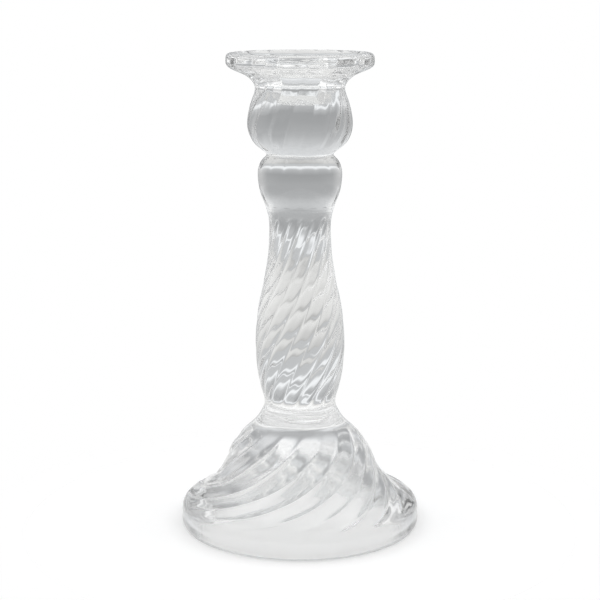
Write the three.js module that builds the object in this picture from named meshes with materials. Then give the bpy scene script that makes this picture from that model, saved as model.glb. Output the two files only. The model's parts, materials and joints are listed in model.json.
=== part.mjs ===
// Glass candlestick: a fluted candle cup with a drip rim, a smooth knop, a stem with spiral ribs and
// a hollow bell foot with spiral ribs. They are four pressed glass bodies, joined while hot by three
// thin glass wafers, so neighbours meet on flat rings and nothing moves.
// Millimetres, +Z up. The origin is on the axis, on the surface that the foot stands on. Angles are
// measured about the axis from the front, which is -Y, towards +X.
import * as THREE from 'three';

// Heights along the axis.
const HEIGHT = 240;
const CUP_BASE = 190.7;
const SOCKET_FLOOR = 214;
const NOTCH = 190;
const KNOP_TOP = 189.2;
const KNOP_BASE = 165;
const STEM_TOP = 163.5;
const STEM_BASE = 63.5;
const FOOT_TOP = 62;
const HOLLOW_TOP = 41;

// Radii.
const RIM_RADIUS = 36.6;
const SOCKET_RADIUS = 11.4;
const SOCKET_FLOOR_RADIUS = 11;
const CUP_BASE_RADIUS = 16.75;
const NOTCH_RADIUS = 16.6;
const KNOP_TOP_RADIUS = 17.05;
const KNOP_BASE_RADIUS = 17.4;
const STEM_TOP_RADIUS = 16.9;
const STEM_BASE_RADIUS = 18.05;
const FOOT_TOP_RADIUS = 18.3;
const FOOT_RADIUS = 61.2;
const HOLLOW_MOUTH_RADIUS = 50;

// Ribs: how many go round, how deep the grooves between them are, the heights between which they
// begin and end, and the angle of one groove at the bottom. turn is how fast they wind about the
// axis, in degrees for each millimetre along the surface; the bell's slows down on the way up.
const RIBS = 16;
const FLUTES = { depth: 0.4, from: [192, 197], turn: 0.7, start: -26 };
const SCALLOPS = { depth: 0.6, from: [224, 228], to: [236.5, HEIGHT], turn: 0.3 };
const STEM_RIBS = { depth: 0.5, from: [64, 69], to: [158, 161], turn: 1.3, start: -56 };
const BELL_RIBS = { depth: 0.8, from: [11.5, 15], to: [45, 53], turnAtRim: 2.6, turnAtTop: 1.1, start: -28 };
// How narrow the grooves are beside the ribs: the higher, the narrower.
const GROOVE_NARROWING = 3;

// Facets round the axis.
const RIBBED_COLUMNS = 4 * RIBS;
const SMOOTH_COLUMNS = 48;

const glass = () => new THREE.MeshStandardMaterial({
  color: 0xeef2f2,
  roughness: 0.03,
  metalness: 0,
  transparent: true,
  opacity: 0.4,
});

const { smoothstep, lerp, degToRad } = THREE.MathUtils;

// How far from 0 to 1 ribs have risen out of the surface at a height.
const risen = (height, { from, to }) => (
  smoothstep(height, ...from) * (to ? 1 - smoothstep(height, ...to) : 1));

// A stretch of an outline. stations are [radius, height] pairs on a smooth curve; depth and turn
// give the groove depth and the ribs' turning rate at a height.
function stretch(stations, steps, depth = () => 0, turn = () => 0) {
  const curve = new THREE.SplineCurve(stations.map(([radius, height]) => new THREE.Vector2(radius, height)));
  const spacing = curve.getLength() / steps;
  return curve.getSpacedPoints(steps).map((point, i) => ({
    point,
    depth: depth(point.y),
    turn: i === 0 ? 0 : spacing * turn(point.y),
  }));
}

// Straight pieces of an outline, from corner to corner.
const corners = (...stations) => stations.map(([radius, height]) => ({
  point: new THREE.Vector2(radius, height),
  depth: 0,
  turn: 0,
}));

// Joins stretches into one outline. Where one starts on the last one's end, that point is kept once.
function outline(...stretches) {
  return stretches.reduce((joined, next) => {
    const meets = joined.length > 0 && joined[joined.length - 1].point.distanceTo(next[0].point) < 1e-6;
    return joined.concat(meets ? next.slice(1) : next);
  }, []);
}

// How deep a groove is at an angle from its middle: 1 in the middle and 0 on the crest of a rib.
const groove = (angle) => (1 - Math.abs(Math.sin((RIBS * angle) / 2))) ** GROOVE_NARROWING;

// Turns an outline about +Z. Grooves lie on every fourth column, and each ring of the solid is
// turned by all the turning below it, so the columns and the grooves follow the same spiral.
function turned(points, columns, start = 0) {
  const geometry = new THREE.LatheGeometry(points.map(({ point }) => point), columns);
  const position = geometry.getAttribute('position');
  const ringAngles = [];
  points.reduce((angle, { turn }, ring) => (ringAngles[ring] = angle + turn), start);
  for (let i = 0; i < position.count; i++) {
    const ring = i % points.length;
    const column = Math.floor(i / points.length) % columns;
    const columnAngle = (2 * Math.PI * column) / columns;
    const radius = points[ring].point.x - points[ring].depth * groove(columnAngle);
    const angle = columnAngle + degToRad(ringAngles[ring]);
    position.setXYZ(i, radius * Math.sin(angle), points[ring].point.y, radius * Math.cos(angle));
  }
  return geometry.rotateX(Math.PI / 2);
}

function part(name, geometry) {
  const mesh = new THREE.Mesh(geometry, glass());
  mesh.name = name;
  return mesh;
}

// The cup is solid below the candle socket. Its flutes run up the bulb and out under the drip rim,
// which they scallop, and the dish on top is smooth and drains towards the socket.
function candleCup() {
  const outside = stretch(
    [[CUP_BASE_RADIUS, CUP_BASE], [19.4, 193], [24.1, 197.7], [26, 204], [25.4, 211], [23.5, 218],
      [22.3, 223.4], [24.2, 226.8], [29.4, 230.2], [34.4, 232.4], [36.3, 234], [RIM_RADIUS, 236.4],
      [36, 239], [34.4, HEIGHT]],
    36,
    (height) => (
      FLUTES.depth * risen(height, FLUTES) + (SCALLOPS.depth - FLUTES.depth) * risen(height, SCALLOPS)),
    (height) => (height < SCALLOPS.from[0] ? FLUTES.turn : SCALLOPS.turn));
  const dish = stretch([[33.4, HEIGHT], [28, 237.6], [19, 236.2], [12.6, 236]], 5);
  const mouth = stretch([[12.6, 236], [11.7, 235.7], [SOCKET_RADIUS, 234.8]], 2);
  const socket = corners([SOCKET_FLOOR_RADIUS, SOCKET_FLOOR], [0, SOCKET_FLOOR]);
  const points = outline(corners([0, CUP_BASE]), outside, dish, mouth, socket);
  return part('candle_cup', turned(points, RIBBED_COLUMNS, FLUTES.start));
}

function knop() {
  const side = stretch(
    [[KNOP_BASE_RADIUS, KNOP_BASE], [19.3, 170], [20.9, 178], [20.4, 184.5], [18.5, 187.8],
      [KNOP_TOP_RADIUS, KNOP_TOP]], 14);
  return part('knop', turned(outline(corners([0, KNOP_BASE]), side, corners([0, KNOP_TOP])), SMOOTH_COLUMNS));
}

function stem() {
  const side = stretch(
    [[STEM_BASE_RADIUS, STEM_BASE], [19.2, 69], [21.2, 77.5], [22.5, 91], [22.1, 104], [20.6, 115.5],
      [18.5, 125.5], [16.6, 136], [15.5, 148], [15.6, 157], [STEM_TOP_RADIUS, STEM_TOP]],
    24, (height) => STEM_RIBS.depth * risen(height, STEM_RIBS), () => STEM_RIBS.turn);
  const points = outline(corners([0, STEM_BASE]), side, corners([0, STEM_TOP]));
  return part('stem', turned(points, RIBBED_COLUMNS, STEM_RIBS.start));
}

// The foot is hollow from below. It stands on the flat ring round the hollow's mouth, has a smooth
// rounded rim, and its ribs sweep up the bell and end under a smooth collar.
function foot() {
  const bellTurn = (height) => {
    const [low, high] = [BELL_RIBS.from[0], BELL_RIBS.to[1]];
    const share = (height - low) / (high - low);
    return share > 0 && share < 1 ? lerp(BELL_RIBS.turnAtRim, BELL_RIBS.turnAtTop, share) : 0;
  };
  const hollow = stretch(
    [[0, HOLLOW_TOP], [10, 40.8], [17, 39], [22.5, 35.5], [26.5, 30.5], [30, 25], [34.8, 19.3],
      [40.5, 13.6], [45.4, 9.6], [49, 4.6], [HOLLOW_MOUTH_RADIUS, 0]], 15);
  const outside = stretch(
    [[59.9, 0], [60.9, 1.8], [FOOT_RADIUS, 5.5], [60.3, 10.8], [56.6, 14], [51.4, 16.4], [46.4, 21],
      [42.2, 25.6], [39.4, 30.6], [36.4, 37.6], [33, 43.2], [28.6, 48.4], [23.3, 53.4], [19.9, 58.4],
      [FOOT_TOP_RADIUS, FOOT_TOP]],
    40, (height) => BELL_RIBS.depth * risen(height, BELL_RIBS), bellTurn);
  const points = outline(hollow, outside, corners([0, FOOT_TOP]));
  return part('foot', turned(points, RIBBED_COLUMNS, BELL_RIBS.start));
}

// The disc of glass between two bodies, from its bottom edge to its top edge.
function wafer(name, ...edges) {
  const [, base] = edges[0];
  const [, top] = edges[edges.length - 1];
  return part(name, turned(corners([0, base], ...edges, [0, top]), SMOOTH_COLUMNS));
}

const lowerWafer = () => wafer(
  'lower_wafer', [FOOT_TOP_RADIUS, FOOT_TOP], [STEM_BASE_RADIUS, STEM_BASE]);

const middleWafer = () => wafer(
  'middle_wafer', [STEM_TOP_RADIUS, STEM_TOP], [KNOP_BASE_RADIUS, KNOP_BASE]);

// The upper disc is waisted, which makes the notch between the knop and the cup.
const upperWafer = () => wafer(
  'upper_wafer', [KNOP_TOP_RADIUS, KNOP_TOP], [NOTCH_RADIUS, NOTCH], [CUP_BASE_RADIUS, CUP_BASE]);

const candlestick = new THREE.Group();
candlestick.add(
  foot(),
  lowerWafer(),
  stem(),
  middleWafer(),
  knop(),
  upperWafer(),
  candleCup(),
);

export default candlestick;
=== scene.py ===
"""Glass candlestick: fine, fire-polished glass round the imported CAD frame. Metres, +Z up.

Seven turned glass bodies are stacked on one axis and fused to each other. Each outline is given in
millimetres, as [radius, height] stations on smooth curves, and is turned about the axis with ribs,
flutes and the faint waves of pressed glass. Angles run from the front, which is -Y, towards +X.
Light, floor and camera are in metres.
"""
import json
from math import pi, radians

import bpy
import numpy as np
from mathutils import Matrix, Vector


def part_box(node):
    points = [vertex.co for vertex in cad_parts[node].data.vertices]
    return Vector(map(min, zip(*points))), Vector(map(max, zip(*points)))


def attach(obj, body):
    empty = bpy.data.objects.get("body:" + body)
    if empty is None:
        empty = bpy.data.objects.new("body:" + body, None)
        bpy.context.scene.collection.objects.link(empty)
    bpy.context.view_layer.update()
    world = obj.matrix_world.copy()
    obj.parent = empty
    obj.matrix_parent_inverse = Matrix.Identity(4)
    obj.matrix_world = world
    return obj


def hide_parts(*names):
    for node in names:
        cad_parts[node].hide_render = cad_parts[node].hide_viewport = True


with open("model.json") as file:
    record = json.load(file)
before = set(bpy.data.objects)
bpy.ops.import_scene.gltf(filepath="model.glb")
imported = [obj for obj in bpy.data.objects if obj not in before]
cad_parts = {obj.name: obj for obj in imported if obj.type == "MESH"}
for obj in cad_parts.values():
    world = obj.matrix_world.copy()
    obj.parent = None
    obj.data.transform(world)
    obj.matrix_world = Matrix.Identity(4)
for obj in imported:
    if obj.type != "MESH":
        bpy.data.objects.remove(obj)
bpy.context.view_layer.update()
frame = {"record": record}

MM = 0.001

# Heights and radii of the joints, in millimetres, from the CAD nodes.


def low(node):
    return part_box(node)[0].z / MM


def high(node):
    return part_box(node)[1].z / MM


# Waves of the pressed surface: their height, the distances from the axis and from the table within
# which they fade out, and the room that the outline leaves for them inside the CAD.
WAVE_HEIGHT = 0.009
WAVE_FADE_RADIUS = 4
WAVE_FADE_HEIGHT = 3
WAVE_ROOM = 0.08

HEIGHT = high("candle_cup") - WAVE_ROOM
CUP_BASE = low("candle_cup")
KNOP_TOP, KNOP_BASE = high("knop"), low("knop")
STEM_TOP, STEM_BASE = high("stem"), low("stem")
FOOT_TOP = high("foot")
FOOT_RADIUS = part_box("foot")[1].x / MM - WAVE_ROOM
SEAT = [mount for mount in frame["record"]["mounts"] if mount["name"] == "candle_seat"][0]
SOCKET_FLOOR = SEAT["pos_m"][2] / MM

# The outer side of the whole candlestick, from the edge it stands on to the top of the drip rim.
SIDE = [
    (59.9, 0), (60.9, 1.8), (FOOT_RADIUS, 5.5), (60.3, 10.8), (56.6, 14),
    (51.4, 16.4), (46.4, 21), (42.2, 25.6), (39.4, 30.6), (36.4, 37.6), (33, 43.2), (28.6, 48.4),
    (23.3, 53.4), (19.9, 58.4), (18.1, 63),
    (19.2, 69), (21.2, 77.5), (22.5, 91), (22.1, 104), (20.6, 115.5), (18.5, 125.5), (16.6, 136),
    (15.5, 148), (15.6, 157), (17.2, 164.5),
    (19.3, 170), (20.9, 178), (20.4, 184.5), (18.5, 187.8), (16.6, 190),
    (19.4, 193), (24.1, 197.7), (26, 204), (25.4, 211), (23.5, 218), (22.3, 223.4),
    (24.2, 226.8), (29.4, 230.2), (34.4, 232.4), (36.3, 234), (36.6, 236.4), (36, 239), (34.4, HEIGHT),
]
SIDE_STEPS = 8000
# The top of the cup: the dish that drains towards the socket, and the rounded edge of the socket.
SOCKET_RADIUS = 11.4
SOCKET_FLOOR_RADIUS = 11.0
SOCKET_EDGE = (SOCKET_RADIUS, 234.8)
DISH = [(33.4, HEIGHT), (28, 237.6), (19, 236.2), (12.6, 236)]
SOCKET_MOUTH = [(12.6, 236), (11.7, 235.7), SOCKET_EDGE]
# The hollow under the foot, from its ceiling to its mouth.
HOLLOW = [
    (0, 41), (10, 40.8), (17, 39), (22.5, 35.5), (26.5, 30.5), (30, 25), (34.8, 19.3), (40.5, 13.6),
    (45.4, 9.6), (49, 4.6), (50, 0),
]

# What a face is: fire-polished, the middle of a fused joint, or shaped by the press's plunger.
POLISHED, FUSED, PRESSED = range(3)

# Ribs: how many go round, how sharp the groove between two is (0 is a knife cut), how narrow it is
# (the higher, the narrower), and by what share a groove may be deeper or shallower than the rest.
RIBS = 16
COLUMNS = 24 * RIBS
GROOVE_ROUNDING = 0.2
GROOVE_NARROWING = 2
GROOVE_SPREAD = 0.4
# Groove depths, the heights over which grooves begin and end, how fast they turn in degrees for each
# millimetre along the surface, and the angle of one of them at the bottom.
FLUTE_DEPTH, FLUTE_START, FLUTE_TURN, FLUTE_ANGLE = 0.4, (192, 197), 0.7, -26
SCALLOP_DEPTH, SCALLOP_SPAN, SCALLOP_EDGE, SCALLOP_TURN = 0.2, (224, 240.5), 4, 0.3
KNOP_LOW_DEPTH, KNOP_LOW_END = 0.16, (168, 177)
KNOP_HIGH_DEPTH, KNOP_HIGH_START = 0.3, (182, 187)
STEM_DEPTH, STEM_START, STEM_END, STEM_TURN, STEM_ANGLE = 0.5, (64, 69), (158, 161), 1.3, -56
BELL_DEPTH, BELL_START, BELL_END, BELL_ANGLE = 1.05, (11.5, 15), (45, 53), -28
BELL_TURN_SPAN, BELL_TURN_HEIGHTS, BELL_TURNS = (13, 53), (14, 50), (2.6, 1.1)

GLASS_COLOUR = (0.99, 0.993, 0.99, 1)
GLASS_IOR = 1.51
POLISHED_ROUGHNESS = 0.05
PRESSED_ROUGHNESS = 0.18
RIPPLES_PER_METRE = 90
RIPPLE_STRENGTH = 0.1
RIPPLE_HEIGHT = 0.00006


# ---- Outlines -------------------------------------------------------------------------------


def smooth_curve(stations, steps):
    """Evenly spaced points on the natural cubic spline through the stations."""
    knots = np.array(stations, float)
    t = np.concatenate([[0], np.cumsum(np.hypot(*np.diff(knots, axis=0).T))])
    h = np.diff(t)
    n = len(knots)
    system = np.eye(n)
    bend = np.zeros((n, 2))
    slope = np.diff(knots, axis=0) / h[:, None]
    for i in range(1, n - 1):
        system[i, i - 1:i + 2] = h[i - 1], 2 * (h[i - 1] + h[i]), h[i]
        bend[i] = 6 * (slope[i] - slope[i - 1])
    curvature = np.linalg.solve(system, bend)

    def at(s):
        i = np.clip(np.searchsorted(t, s) - 1, 0, n - 2)
        a, b = (t[i + 1] - s) / h[i], (s - t[i]) / h[i]
        a, b, span = a[:, None], b[:, None], h[i][:, None]
        cubic = (a ** 3 - a) * curvature[i] + (b ** 3 - b) * curvature[i + 1]
        return a * knots[i] + b * knots[i + 1] + cubic * span ** 2 / 6

    fine = np.linspace(0, t[-1], 40 * n)
    length = np.concatenate([[0], np.cumsum(np.hypot(*np.diff(at(fine), axis=0).T))])
    return at(np.interp(np.linspace(0, length[-1], steps + 1), length, fine))


SIDE_POINTS = smooth_curve(SIDE, SIDE_STEPS)


def smoothstep(t, start, end):
    """0 up to the start, 1 from the end on, and a smooth rise between them."""
    t = np.clip((t - start) / (end - start), 0, 1)
    return t * t * (3 - 2 * t)


def between(height, bottom, top, edge):
    """1 between two heights, falling to 0 over edge mm inside each of them."""
    return smoothstep(height, bottom, bottom + edge) * (1 - smoothstep(height, top - edge, top))


def stretch(points, depth=None, turn=None, surface=POLISHED):
    """One stretch of an outline: its points, how deep the grooves are at a height and how fast the
    ribs turn there in degrees per mm, and what its faces are."""
    height = points[:, 1]
    spacing = np.hypot(*np.diff(points, axis=0).T)
    rate = turn((height[1:] + height[:-1]) / 2) if turn else 0
    wave = 0.0 if surface == FUSED else 1.0
    return {
        "points": points,
        "depth": depth(height) if depth else np.zeros(len(points)),
        "turn": np.concatenate([[0], spacing * rate]),
        "wave": np.full(len(points), wave),
        "surface": np.full(len(points) - 1, surface),
    }


def side(bottom, top, steps, depth=None, turn=None):
    """The part of the outer side between two heights."""
    keep = (SIDE_POINTS[:, 1] > bottom + 1e-4) & (SIDE_POINTS[:, 1] < top - 1e-4)
    ends = [[np.interp(z, SIDE_POINTS[:, 1], SIDE_POINTS[:, 0]), z] for z in (bottom, top)]
    points = np.concatenate([ends[:1], SIDE_POINTS[keep], ends[1:]])
    length = np.concatenate([[0], np.cumsum(np.hypot(*np.diff(points, axis=0).T))])
    where = np.linspace(0, length[-1], steps + 1)
    points = np.stack([np.interp(where, length, points[:, i]) for i in (0, 1)], axis=1)
    return stretch(points, depth, turn)


def side_radius(height):
    return float(np.interp(height, SIDE_POINTS[:, 1], SIDE_POINTS[:, 0]))


def straight(start, end, steps=1, surface=POLISHED):
    return stretch(np.linspace(start, end, steps + 1), surface=surface)


def joint_under(height):
    return straight((0, height), (side_radius(height), height), surface=FUSED)


def joint_over(height):
    return straight((side_radius(height), height), (0, height), surface=FUSED)


def join(stretches):
    """Strings stretches together. Each starts where the last one ended, or a straight face joins them."""
    outline = dict(stretches[0])
    for part in stretches[1:]:
        meets = np.allclose(part["points"][0], outline["points"][-1], atol=1e-6)
        skip = 1 if meets else 0
        for key in ("points", "depth", "turn", "wave"):
            outline[key] = np.concatenate([outline[key], part[key][skip:]])
        faces = part["surface"] if meets else np.concatenate([[POLISHED], part["surface"]])
        outline["surface"] = np.concatenate([outline["surface"], faces])
    return outline


# ---- Turning --------------------------------------------------------------------------------


def groove(angle):
    """1 at the bottom of a groove and 0 on the crest of a rib."""
    flank = np.sqrt(np.sin(RIBS * angle / 2) ** 2 + GROOVE_ROUNDING ** 2) - GROOVE_ROUNDING
    crest = np.sqrt(1 + GROOVE_ROUNDING ** 2) - GROOVE_ROUNDING
    return (1 - flank / crest) ** GROOVE_NARROWING


def unevenness(angle):
    """How much deeper or shallower than the rest each groove came out of the mould."""
    rng = np.random.RandomState(11)
    each = rng.uniform(1 - GROOVE_SPREAD, 1 + GROOVE_SPREAD, RIBS)
    return each[np.round(RIBS * angle / (2 * pi)).astype(int) % RIBS]


def waves(angle, height):
    """Faint unevenness of pressed glass, in mm, over the angle about the axis and the height."""
    rng = np.random.RandomState(5)
    total = np.zeros(np.broadcast(angle, height).shape)
    for _ in range(9):
        lobes = rng.randint(1, 7)
        length = rng.uniform(9, 30)
        total = total + rng.uniform(0.3, 1) * np.sin(
            lobes * angle + 2 * pi * height / length + rng.uniform(0, 2 * pi))
    return WAVE_HEIGHT * total


def turned(name, outline, start):
    """A glass body: the outline turned about +Z, its rings turned with the ribs below them."""
    points = outline["points"]
    tangent = np.gradient(points, axis=0)
    tangent /= np.hypot(*tangent.T)[:, None]
    normal = np.stack([tangent[:, 1], -tangent[:, 0]], axis=1)
    column = np.linspace(0, 2 * pi, COLUMNS, endpoint=False)
    angle = column[None] + np.radians(start + np.cumsum(outline["turn"]))[:, None]
    fading = np.clip(points[:, 0] / WAVE_FADE_RADIUS, 0, 1) * np.clip(points[:, 1] / WAVE_FADE_HEIGHT, 0, 1)
    lift = waves(angle, points[:, 1:]) * (outline["wave"] * fading)[:, None]
    lift = lift - outline["depth"][:, None] * (groove(column) * unevenness(column))[None]
    radius = points[:, :1] + normal[:, :1] * lift
    height = points[:, 1:] + normal[:, 1:] * lift
    grid = np.stack([radius * np.sin(angle), -radius * np.cos(angle), height], axis=-1) * MM

    vertices, first = [], []
    for ring, (r, _) in enumerate(points):
        first.append(len(vertices))
        vertices.extend(grid[ring, :1] if r < 1e-6 else grid[ring])
    faces, surfaces = [], []
    for ring, surface in enumerate(outline["surface"]):
        a, b = first[ring], first[ring + 1]
        a_point, b_point = points[ring, 0] < 1e-6, points[ring + 1, 0] < 1e-6
        for i in range(COLUMNS):
            j = (i + 1) % COLUMNS
            if a_point:
                faces.append((a, b + j, b + i))
            elif b_point:
                faces.append((a + i, a + j, b))
            else:
                faces.append((a + i, a + j, b + j, b + i))
            surfaces.append(surface)
    mesh = bpy.data.meshes.new(name)
    mesh.from_pydata(vertices, [], faces)
    for material in (polished, fused, pressed):
        mesh.materials.append(material)
    mesh.polygons.foreach_set("material_index", np.array(surfaces, np.int32))
    mesh.polygons.foreach_set("use_smooth", [True] * len(faces))
    mesh.set_sharp_from_angle(angle=radians(50))
    mesh.update()
    piece = bpy.data.objects.new(name, mesh)
    bpy.context.scene.collection.objects.link(piece)
    return piece


def place(piece, node):
    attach(piece, "root")
    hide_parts(node)


# ---- Glass ----------------------------------------------------------------------------------


def add(tree, kind, **values):
    node = tree.nodes.new(kind)
    for key, value in values.items():
        setattr(node, key, value)
    return node


def clear_glass(name, roughness):
    """Colourless pressed glass with a very faint ripple in the surface."""
    material = bpy.data.materials.new(name)
    material.use_nodes = True
    tree = material.node_tree
    shader = tree.nodes["Principled BSDF"]
    shader.inputs["Base Color"].default_value = GLASS_COLOUR
    shader.inputs["Roughness"].default_value = roughness
    shader.inputs["IOR"].default_value = GLASS_IOR
    shader.inputs["Transmission Weight"].default_value = 1.0
    where = add(tree, "ShaderNodeTexCoord")
    noise = add(tree, "ShaderNodeTexNoise")
    noise.inputs["Scale"].default_value = RIPPLES_PER_METRE
    noise.inputs["Detail"].default_value = 1
    bump = add(tree, "ShaderNodeBump")
    bump.inputs["Strength"].default_value = RIPPLE_STRENGTH
    bump.inputs["Distance"].default_value = RIPPLE_HEIGHT
    tree.links.new(where.outputs["Object"], noise.inputs["Vector"])
    tree.links.new(noise.outputs["Fac"], bump.inputs["Height"])
    tree.links.new(bump.outputs["Normal"], shader.inputs["Normal"])
    return material


def fused_joint():
    """Where two bodies are fused the glass goes on, so light passes straight through."""
    material = bpy.data.materials.new("fused_joint")
    material.use_nodes = True
    tree = material.node_tree
    tree.nodes.clear()
    through = add(tree, "ShaderNodeBsdfTransparent")
    output = add(tree, "ShaderNodeOutputMaterial")
    tree.links.new(through.outputs[0], output.inputs["Surface"])
    return material


polished = clear_glass("clear_glass", POLISHED_ROUGHNESS)
pressed = clear_glass("pressed_glass", PRESSED_ROUGHNESS)
fused = fused_joint()


# ---- The seven bodies -----------------------------------------------------------------------


def candle_cup():
    """Fluted bulb with the candle socket in it, under a drip rim that the flutes scallop."""
    def depth(z):
        scallops = SCALLOP_DEPTH * between(z, *SCALLOP_SPAN, SCALLOP_EDGE)
        return FLUTE_DEPTH * smoothstep(z, *FLUTE_START) + scallops

    def turn(z):
        return np.where(z < SCALLOP_SPAN[0], FLUTE_TURN, SCALLOP_TURN)

    outside = side(CUP_BASE, HEIGHT, 190, depth, turn)
    dish = stretch(smooth_curve(DISH, 24))
    mouth = stretch(smooth_curve(SOCKET_MOUTH, 8))
    wall = straight(SOCKET_EDGE, (SOCKET_FLOOR_RADIUS, SOCKET_FLOOR), 24)
    floor = straight((SOCKET_FLOOR_RADIUS, SOCKET_FLOOR), (0, SOCKET_FLOOR), 8)
    outline = join([joint_under(CUP_BASE), outside, dish, mouth, wall, floor])
    return turned("cup_glass", outline, FLUTE_ANGLE)


def knop():
    """Solid knop, smooth but for the ends of the ribs above and below it."""
    def depth(z):
        low_ends = KNOP_LOW_DEPTH * (1 - smoothstep(z, *KNOP_LOW_END))
        return low_ends + KNOP_HIGH_DEPTH * smoothstep(z, *KNOP_HIGH_START)

    outside = side(KNOP_BASE, KNOP_TOP, 90, depth)
    return turned("knop_glass", join([joint_under(KNOP_BASE), outside, joint_over(KNOP_TOP)]), 0)


def stem():
    """Solid baluster stem with spiral ribs."""
    def depth(z):
        return STEM_DEPTH * smoothstep(z, *STEM_START) * (1 - smoothstep(z, *STEM_END))

    def turn(z):
        return np.full(len(z), STEM_TURN)

    outside = side(STEM_BASE, STEM_TOP, 200, depth, turn)
    outline = join([joint_under(STEM_BASE), outside, joint_over(STEM_TOP)])
    return turned("stem_glass", outline, STEM_ANGLE)


def foot():
    """Bell foot, hollow from below, with spiral ribs between its rounded rim and its collar."""
    def depth(z):
        return BELL_DEPTH * smoothstep(z, *BELL_START) * (1 - smoothstep(z, *BELL_END))

    def turn(z):
        low_end, high_end = BELL_TURN_SPAN
        return np.interp(z, BELL_TURN_HEIGHTS, BELL_TURNS) * (z > low_end) * (z < high_end)

    hollow = stretch(smooth_curve(HOLLOW, 80), surface=PRESSED)
    outline = join([hollow, side(0, FOOT_TOP, 220, depth, turn), joint_over(FOOT_TOP)])
    return turned("foot_glass", outline, BELL_ANGLE)


def wafer(name, node):
    """Thin disc of glass between two bodies."""
    base, top = low(node), high(node)
    return turned(name, join([joint_under(base), side(base, top, 8), joint_over(top)]), 0)


place(foot(), "foot")
place(wafer("lower_wafer_glass", "lower_wafer"), "lower_wafer")
place(stem(), "stem")
place(wafer("middle_wafer_glass", "middle_wafer"), "middle_wafer")
place(knop(), "knop")
place(wafer("upper_wafer_glass", "upper_wafer"), "upper_wafer")
place(candle_cup(), "candle_cup")


# ---- Floor, light and camera ----------------------------------------------------------------

TENT_RADIUS = 0.42
TENT_WALL = 0.5
TENT_DOME = 0.25
TENT_FLOOR = -0.001
# Brightness of the tent's cloth at heights in metres: behind the candlestick, beside it, and before it.
BACK_LIGHT = [(0, 0.54), (0.035, 0.56), (0.048, 0.95), (0.06, 0.95), (0.08, 0.5), (0.125, 0.36),
              (0.24, 0.42), (0.34, 0.66), (0.45, 0.74), (0.55, 1.0), (0.75, 0.7)]
SIDE_LIGHT = [(0, 0.6), (0.04, 0.6), (0.07, 1.05), (0.12, 0.9), (0.2, 0.7), (0.3, 0.95), (0.43, 1.3),
              (0.55, 1.75), (0.75, 1.3)]
FRONT_LIGHT = [(0, 0.75), (0.06, 0.85), (0.1, 0.5), (0.24, 0.3), (0.3, 0.4), (0.4, 0.8), (0.5, 1.15),
               (0.75, 0.9)]
# Where one gives way to the next, as shares of half a turn away from straight behind.
BACK_EDGE = (0.2, 0.44)
TABLE_EDGE = (0.02, 0.22)
FRONT_EDGE = (0.5, 0.72)
# Brightness of the table cloth at distances from the axis in metres: behind the candlestick and beside it.
BACK_TABLE = [(0, 0.85), (0.13, 0.9), (0.25, 0.76), (0.33, 0.68), (TENT_RADIUS, 0.44)]
SIDE_TABLE = [(0, 0.85), (0.13, 0.95), (0.25, 0.76), (TENT_RADIUS, 0.62)]
# The brightest cloth that the ramps can give.
TENT_LIMIT = 2.0
BACK_TINT = (0.96, 0.98, 1.0)
TABLE_TINT = (1.0, 1.0, 0.99)
FLOOR_HEIGHT = -0.0001
FLOOR_SHADE = 0.72
# The floor's painted glow, which stands in for light, at distances from the axis in metres: less of it
# under the edge of the foot, a painted shadow.
FLOOR_PAINTED_GLOW_AND_SHADOW = [(0, 0.42), (0.045, 0.42), (0.056, 0.34), (0.07, 0.43)]
# The distances between which the floor fades into the backdrop.
FLOOR_EDGE = (0.08, 0.17)

CAMERA_PLACE = (0, -0.75, 0.272)
CAMERA_DOWN = 11.73
CAMERA_LENS = 90.9
CAMERA_SENSOR = 36


def ramp_of(tree, fac, stops, tint=(1, 1, 1)):
    """A colour ramp from (place, brightness) stops; places run from 0 to 1."""
    ramp = add(tree, "ShaderNodeValToRGB")
    elements = ramp.color_ramp.elements
    while len(elements) > 1:
        elements.remove(elements[-1])
    for i, (position, value) in enumerate(stops):
        element = elements.new(position) if i else elements[0]
        element.position = position
        element.color = [value * c for c in tint] + [1]
    tree.links.new(fac, ramp.inputs["Fac"])
    return ramp.outputs["Color"]


def calculate(tree, operation, a, b=0.0):
    """The result of an operation on two numbers or sockets."""
    node = add(tree, "ShaderNodeMath", operation=operation)
    for socket, value in zip(node.inputs, (a, b)):
        if isinstance(value, (int, float)):
            socket.default_value = value
        else:
            tree.links.new(value, socket)
    return node.outputs[0]


def blend(tree, fac, a, b):
    node = add(tree, "ShaderNodeMix", data_type="RGBA")
    for socket, value in ((node.inputs[0], fac), (node.inputs[6], a), (node.inputs[7], b)):
        tree.links.new(value, socket)
    return node.outputs[2]


def around(tree):
    """Distance from the axis, share of half a turn away from straight behind, and height."""
    where = add(tree, "ShaderNodeTexCoord")
    split = add(tree, "ShaderNodeSeparateXYZ")
    tree.links.new(where.outputs["Object"], split.inputs[0])
    x, y, height = split.outputs
    flat = calculate(tree, "ADD", calculate(tree, "MULTIPLY", x, x), calculate(tree, "MULTIPLY", y, y))
    distance = calculate(tree, "SQRT", flat)
    turn = calculate(tree, "ABSOLUTE", calculate(tree, "ARCTAN2", x, y))
    return distance, calculate(tree, "DIVIDE", turn, pi), height


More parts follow.
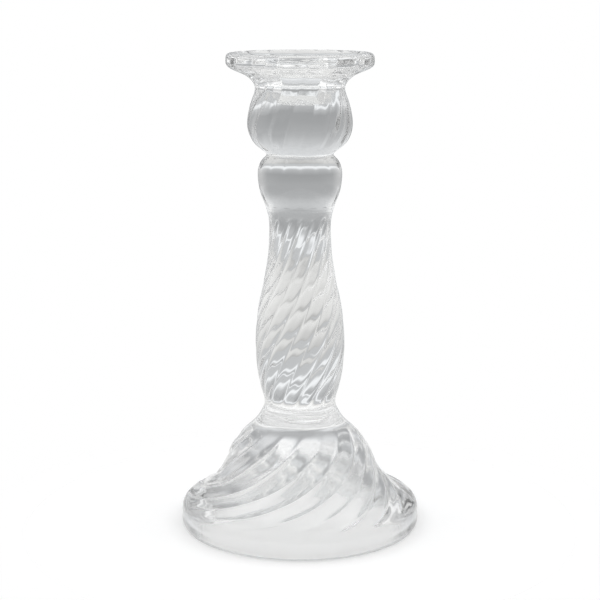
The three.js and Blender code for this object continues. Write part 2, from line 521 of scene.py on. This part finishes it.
def studio_floor():
    """A pale round table top with a painted glow and a painted shadow under the edge of the foot, whose
    edge melts into the white backdrop.
    """
    bpy.ops.mesh.primitive_circle_add(vertices=96, radius=FLOOR_EDGE[1] * 1.1, fill_type="NGON",
                                      location=(0, 0, FLOOR_HEIGHT))
    floor = bpy.context.object
    floor.name = "studio_floor"
    material = bpy.data.materials.new("pale_floor")
    material.use_nodes = True
    tree = material.node_tree
    shader = tree.nodes["Principled BSDF"]
    shader.inputs["Base Color"].default_value = (FLOOR_SHADE, FLOOR_SHADE, FLOOR_SHADE, 1)
    shader.inputs["Roughness"].default_value = 0.9
    shader.inputs["Specular IOR Level"].default_value = 0.1
    distance = around(tree)[0]
    # Painted light: the floor glows by itself, and glows less under the edge of the foot as a painted
    # shadow.
    tree.links.new(ramp_of(tree, distance, FLOOR_PAINTED_GLOW_AND_SHADOW), shader.inputs["Emission Color"])
    shader.inputs["Emission Strength"].default_value = 1
    edge = ramp_of(tree, distance, [(FLOOR_EDGE[0], 1), (FLOOR_EDGE[1], 0)])
    tree.links.new(edge, shader.inputs["Alpha"])
    floor.data.materials.append(material)


def lit_cloth():
    """The tent's glowing cloth, whose brightness changes with height, direction and distance."""
    material = bpy.data.materials.new("lit_cloth")
    material.use_nodes = True
    tree = material.node_tree
    tree.nodes.clear()
    distance, turn, height = around(tree)

    def cloth(place, stops, tint=(1, 1, 1)):
        return ramp_of(tree, place, [(at, value / TENT_LIMIT) for at, value in stops], tint)

    to_side = ramp_of(tree, turn, [(BACK_EDGE[0], 0), (BACK_EDGE[1], 1)])
    to_front = ramp_of(tree, turn, [(FRONT_EDGE[0], 0), (FRONT_EDGE[1], 1)])
    wall = blend(tree, to_side, cloth(height, BACK_LIGHT, BACK_TINT), cloth(height, SIDE_LIGHT))
    wall = blend(tree, to_front, wall, cloth(height, FRONT_LIGHT))
    beside = ramp_of(tree, turn, [(TABLE_EDGE[0], 0), (TABLE_EDGE[1], 1)])
    table = blend(tree, beside, cloth(distance, BACK_TABLE, TABLE_TINT),
                  cloth(distance, SIDE_TABLE, TABLE_TINT))
    above_table = calculate(tree, "GREATER_THAN", height, 0.0)
    lamp = add(tree, "ShaderNodeEmission")
    lamp.inputs["Strength"].default_value = TENT_LIMIT
    output = add(tree, "ShaderNodeOutputMaterial")
    tree.links.new(blend(tree, above_table, table, wall), lamp.inputs["Color"])
    tree.links.new(lamp.outputs[0], output.inputs["Surface"])
    return material


def light_tent():
    """A closed round tent of lit cloth, out of the camera's sight, that gives the glass its soft greys."""
    wall_steps, dome_steps, sides = 24, 12, 96
    outline = [(0, TENT_FLOOR), (TENT_RADIUS, TENT_FLOOR)]
    outline += [(TENT_RADIUS, TENT_WALL * i / wall_steps) for i in range(wall_steps + 1)]
    outline += [(TENT_RADIUS * np.cos(a), TENT_WALL + TENT_DOME * np.sin(a))
                for a in np.linspace(0, pi / 2, dome_steps)[1:]]
    vertices = [(r * np.sin(2 * pi * i / sides), r * np.cos(2 * pi * i / sides), z)
                for r, z in outline for i in range(sides)]
    faces = []
    for ring in range(len(outline) - 1):
        for i in range(sides):
            j = (i + 1) % sides
            inner, outer = ring * sides, (ring + 1) * sides
            faces.append((inner + i, inner + j, outer + j, outer + i))
    mesh = bpy.data.meshes.new("light_tent")
    mesh.from_pydata(vertices, [], faces)
    mesh.materials.append(lit_cloth())
    tent = bpy.data.objects.new("light_tent", mesh)
    tent.visible_camera = False
    bpy.context.scene.collection.objects.link(tent)


def white_backdrop():
    world = bpy.data.worlds.new("studio")
    world.use_nodes = True
    background = world.node_tree.nodes["Background"]
    background.inputs["Color"].default_value = (1, 1, 1, 1)
    background.inputs["Strength"].default_value = 1
    bpy.context.scene.world = world


def studio_camera():
    data = bpy.data.cameras.new("camera")
    data.lens = CAMERA_LENS
    data.sensor_width = CAMERA_SENSOR
    camera = bpy.data.objects.new("camera", data)
    camera.location = CAMERA_PLACE
    camera.rotation_euler = (radians(90 - CAMERA_DOWN), 0, 0)
    bpy.context.scene.collection.objects.link(camera)
    bpy.context.scene.camera = camera


studio_floor()
light_tent()
white_backdrop()
studio_camera()

scene = bpy.context.scene
scene.view_settings.view_transform = "Standard"
scene.cycles.max_bounces = 40
scene.cycles.transmission_bounces = 36
scene.cycles.transparent_max_bounces = 32
scene.cycles.glossy_bounces = 12
